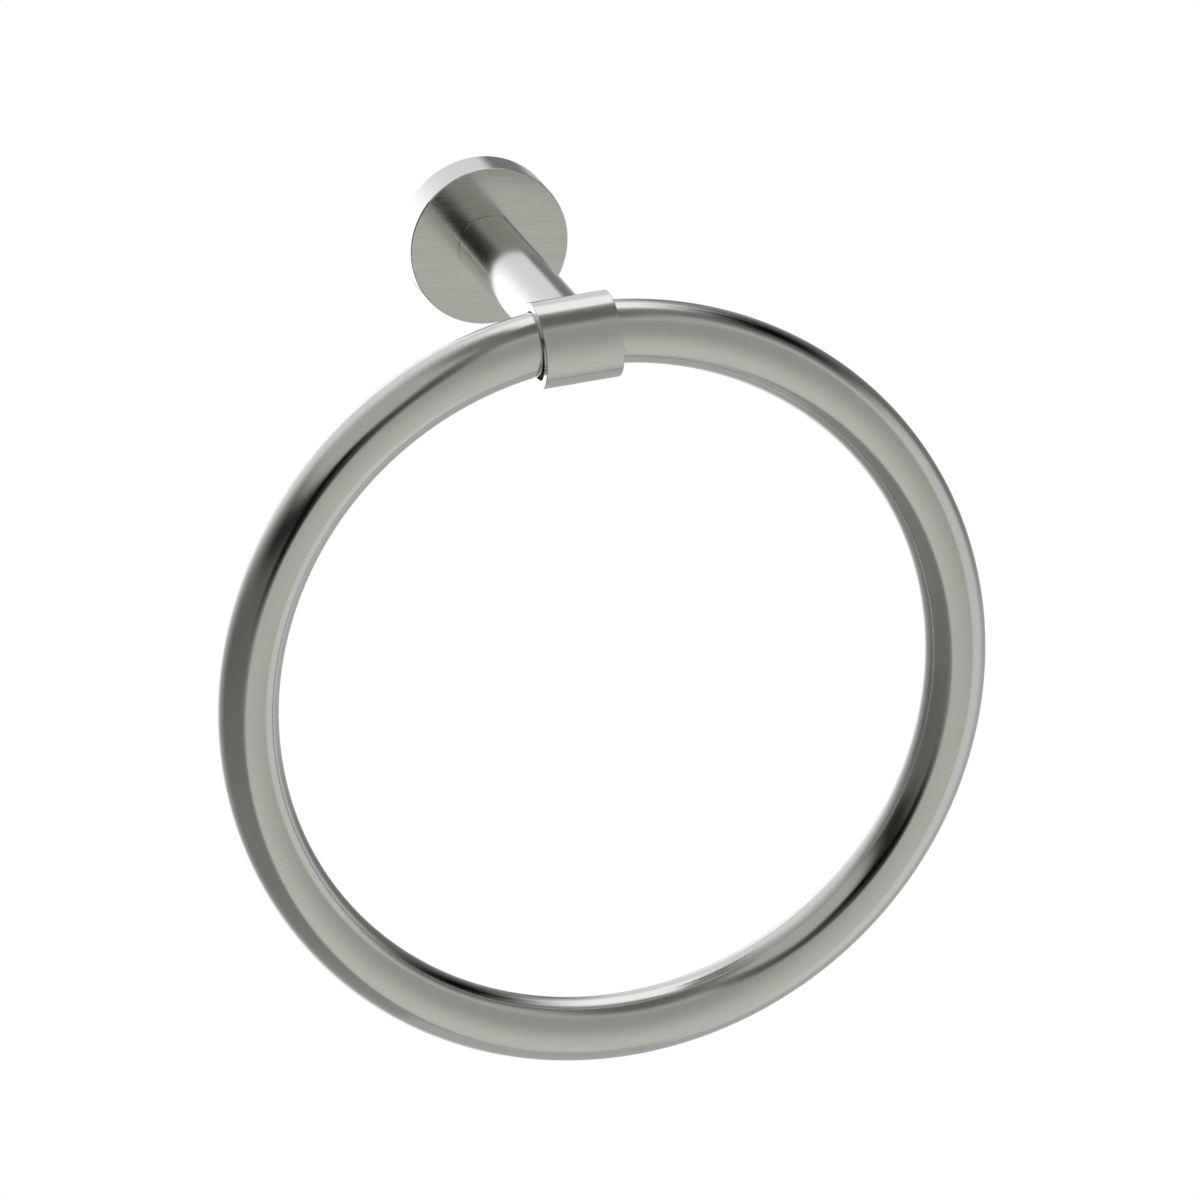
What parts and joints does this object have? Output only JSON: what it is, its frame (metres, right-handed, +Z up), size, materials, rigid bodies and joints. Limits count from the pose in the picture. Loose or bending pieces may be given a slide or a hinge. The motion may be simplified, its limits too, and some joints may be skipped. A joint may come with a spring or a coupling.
{
  "type": "towel ring",
  "caption": "Wall-mounted towel ring: a round tube loop that swings in a short collar at the end of a round post, on a round concealed-fixing flange.",
  "frame": {"origin": "centre of the wall flange, in the plane of the wall", "axes": "+Z up, +X along the wall, +Y into the wall; the room is on the -Y side"},
  "size_m": [0.2, 0.0975, 0.2115],
  "materials": {
    "flange_nickel": "satin nickel, straight brushed",
    "post_nickel": "satin nickel, polished smooth",
    "collar_nickel": "satin nickel, fine brushed",
    "ring_nickel": "satin nickel, fine brushed",
    "zinc_plated_steel": "zinc plated",
    "screw_steel": "stainless steel",
    "nylon": "black nylon"
  },
  "bodies": {
    "fixture": {"wall_bracket": "zinc_plated_steel", "wall_flange": "flange_nickel", "flange_grub_screw": "screw_steel", "post": "post_nickel", "post_screw": "screw_steel", "collar": "collar_nickel", "collar_screw": "screw_steel"},
    "swing_ring": {"ring": "ring_nickel", "ring_joiner": "zinc_plated_steel", "ring_bush": "nylon"}
  },
  "joints": [
    {"name": "ring_swing", "type": "hinge", "parent": "fixture", "child": "swing_ring", "pos_m": [0, -0.0865, 0], "axis": [-1, 0, 0], "range_deg": [-24.5, 204.5]}
  ]
}
